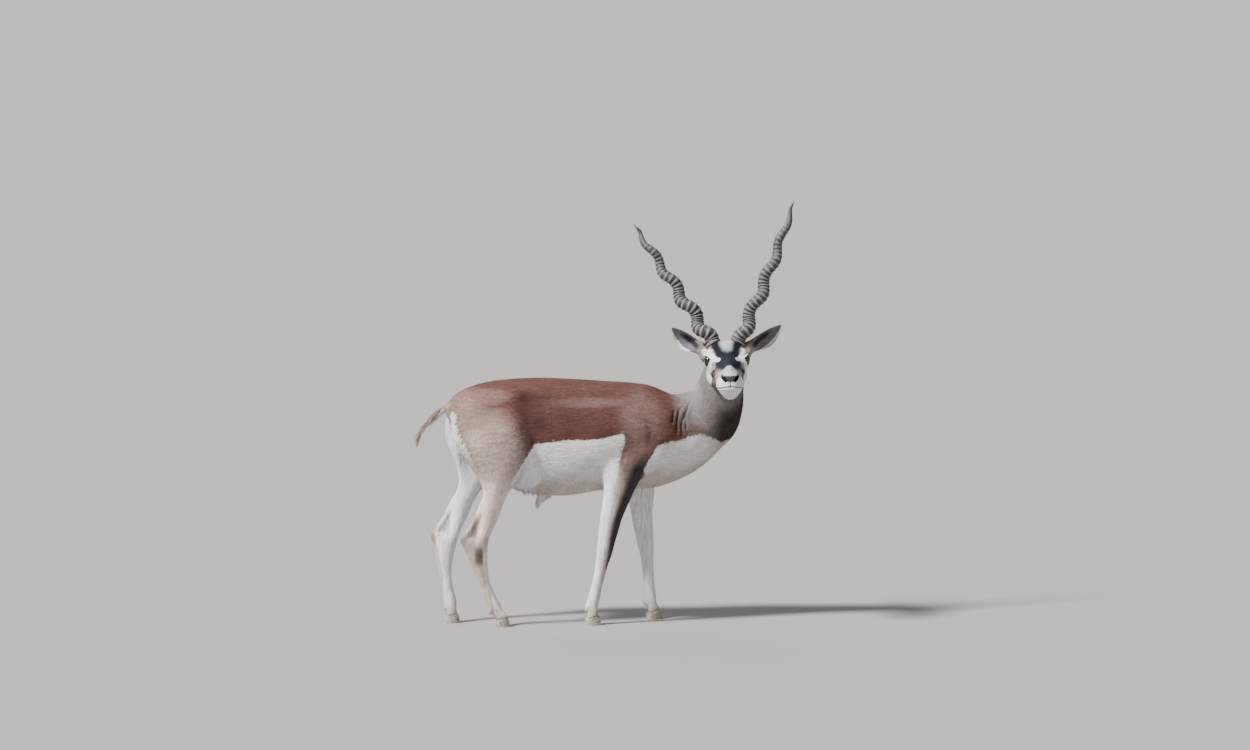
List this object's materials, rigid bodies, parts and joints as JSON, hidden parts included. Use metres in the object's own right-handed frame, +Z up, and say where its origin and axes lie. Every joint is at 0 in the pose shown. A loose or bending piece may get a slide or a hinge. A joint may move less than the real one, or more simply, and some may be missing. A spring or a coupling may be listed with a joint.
{
  "type": "blackbuck",
  "caption": "Standing young blackbuck, life size, head turned to its right, with ringed corkscrew horns, cupped ears, cloven hooves and a short tail.",
  "frame": {"origin": "middle of the bounding box at floor level, under the animal's shoulder", "axes": "+Z up from the soles to the horn tips, +X along the body from rump to chest, +Y to the animal's left; the face looks along -Y"},
  "size_m": [1.1352, 0.4498, 1.2508],
  "materials": {
    "rufous_coat": "short glossy hair, reddish brown above, white below",
    "grey_neck_coat": "short greyish brown hair",
    "face_coat": "short hair, blue-black face with white muzzle and eye rings",
    "leg_coat": "short hair, fawn outside and white inside",
    "ear_coat": "fine grey-brown hair",
    "eye_gloss": "wet, near black",
    "horn_sheath": "grey-brown horn, ringed, smoother to the tip",
    "hoof_horn": "dusty dark horn"
  },
  "bodies": {
    "root": {"torso": "rufous_coat", "neck": "grey_neck_coat", "head": "face_coat", "tail": "rufous_coat", "fore_leg_right": "leg_coat", "fore_leg_left": "leg_coat", "hind_leg_right": "leg_coat", "hind_leg_left": "leg_coat", "ear_right": "ear_coat", "ear_left": "ear_coat", "eye_right": "eye_gloss", "eye_left": "eye_gloss", "horn_right": "horn_sheath", "horn_left": "horn_sheath", "hoof_fore_right_outer": "hoof_horn", "hoof_fore_right_inner": "hoof_horn", "hoof_fore_left_outer": "hoof_horn", "hoof_fore_left_inner": "hoof_horn", "hoof_hind_right_outer": "hoof_horn", "hoof_hind_right_inner": "hoof_horn", "hoof_hind_left_outer": "hoof_horn", "hoof_hind_left_inner": "hoof_horn"}
  },
  "joints": []
}
